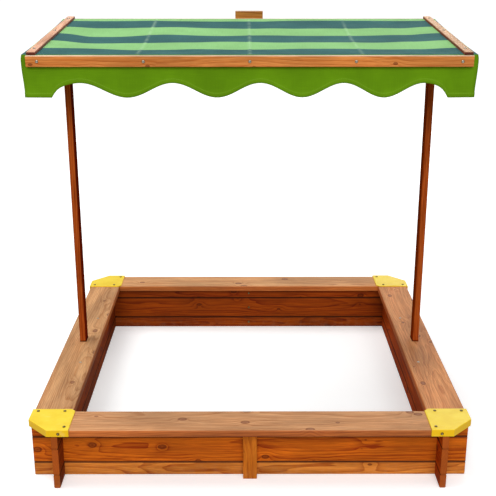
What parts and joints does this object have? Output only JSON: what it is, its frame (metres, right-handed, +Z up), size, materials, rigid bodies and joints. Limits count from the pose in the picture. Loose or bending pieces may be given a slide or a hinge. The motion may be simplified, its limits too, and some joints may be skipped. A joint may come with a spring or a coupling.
{
  "type": "sandbox with cover",
  "caption": "Square wooden sandbox with crossing wall boards, plank seats, plastic corner caps and a striped cloth sun canopy that tilts on two posts.",
  "frame": {"origin": "on the ground at the middle of the square box", "axes": "+Z up, front faces -Y, +X to the right; the canopy's pivot axis is parallel to X"},
  "size_m": [1.131, 1.131, 1.1228],
  "materials": {
    "wall_wood": "orange-brown oil stain, open grain",
    "seat_wood": "pale tan stained softwood with knots",
    "post_wood": "dark orange-brown oil stain",
    "canopy_wood": "orange-brown oil stain",
    "slat_wood": "pale planed softwood",
    "yellow_plastic": "satin moulded",
    "striped_cloth": "woven, light green and blue-green stripes",
    "green_cloth": "woven, plain grass green",
    "zinc_steel": "zinc plated"
  },
  "bodies": {
    "box": {"back_batten": "wall_wood", "back_bottom_board": "wall_wood", "back_left_cap": "yellow_plastic", "back_middle_board": "wall_wood", "back_right_cap": "yellow_plastic", "back_seat": "seat_wood", "back_top_board": "wall_wood", "batten_screws": "zinc_steel", "cap_screws": "zinc_steel", "front_batten": "wall_wood", "front_bottom_board": "wall_wood", "front_left_cap": "yellow_plastic", "front_middle_board": "wall_wood", "front_right_cap": "yellow_plastic", "front_seat": "seat_wood", "front_top_board": "wall_wood", "left_bottom_board": "wall_wood", "left_middle_board": "wall_wood", "left_post": "post_wood", "left_seat": "seat_wood", "left_top_board": "wall_wood", "left_washer": "zinc_steel", "post_screws": "zinc_steel", "right_bottom_board": "wall_wood", "right_middle_board": "wall_wood", "right_post": "post_wood", "right_seat": "seat_wood", "right_top_board": "wall_wood", "right_washer": "zinc_steel", "seat_screws": "zinc_steel"},
    "canopy": {"back_clamp_rail": "canopy_wood", "back_cross_rail": "canopy_wood", "back_handle": "canopy_wood", "back_valance": "green_cloth", "canopy_cloth": "striped_cloth", "clamp_screws": "zinc_steel", "frame_screws": "zinc_steel", "front_clamp_rail": "canopy_wood", "front_cross_rail": "canopy_wood", "front_valance": "green_cloth", "handle_screws": "zinc_steel", "left_pivot_bolt": "zinc_steel", "left_side_rail": "canopy_wood", "left_slat": "slat_wood", "left_spacer": "canopy_wood", "left_valance": "green_cloth", "right_pivot_bolt": "zinc_steel", "right_side_rail": "canopy_wood", "right_slat": "slat_wood", "right_spacer": "canopy_wood", "right_valance": "green_cloth", "slat_screws": "zinc_steel"},
    "left_nut": {"left_wing_nut": "zinc_steel"},
    "right_nut": {"right_wing_nut": "zinc_steel"}
  },
  "joints": [
    {"name": "canopy_tilt", "type": "hinge", "parent": "box", "child": "canopy", "pos_m": [0, 0, 1.051], "axis": [1, 0, 0], "range_deg": [-64.5, 55.5]},
    {"name": "left_nut_turn", "type": "hinge", "parent": "canopy", "child": "left_nut", "pos_m": [-0.4912, 0, 1.051], "axis": [1, 0, 0], "continuous": true},
    {"name": "right_nut_turn", "type": "hinge", "parent": "canopy", "child": "right_nut", "pos_m": [0.4912, 0, 1.051], "axis": [1, 0, 0], "continuous": true}
  ]
}
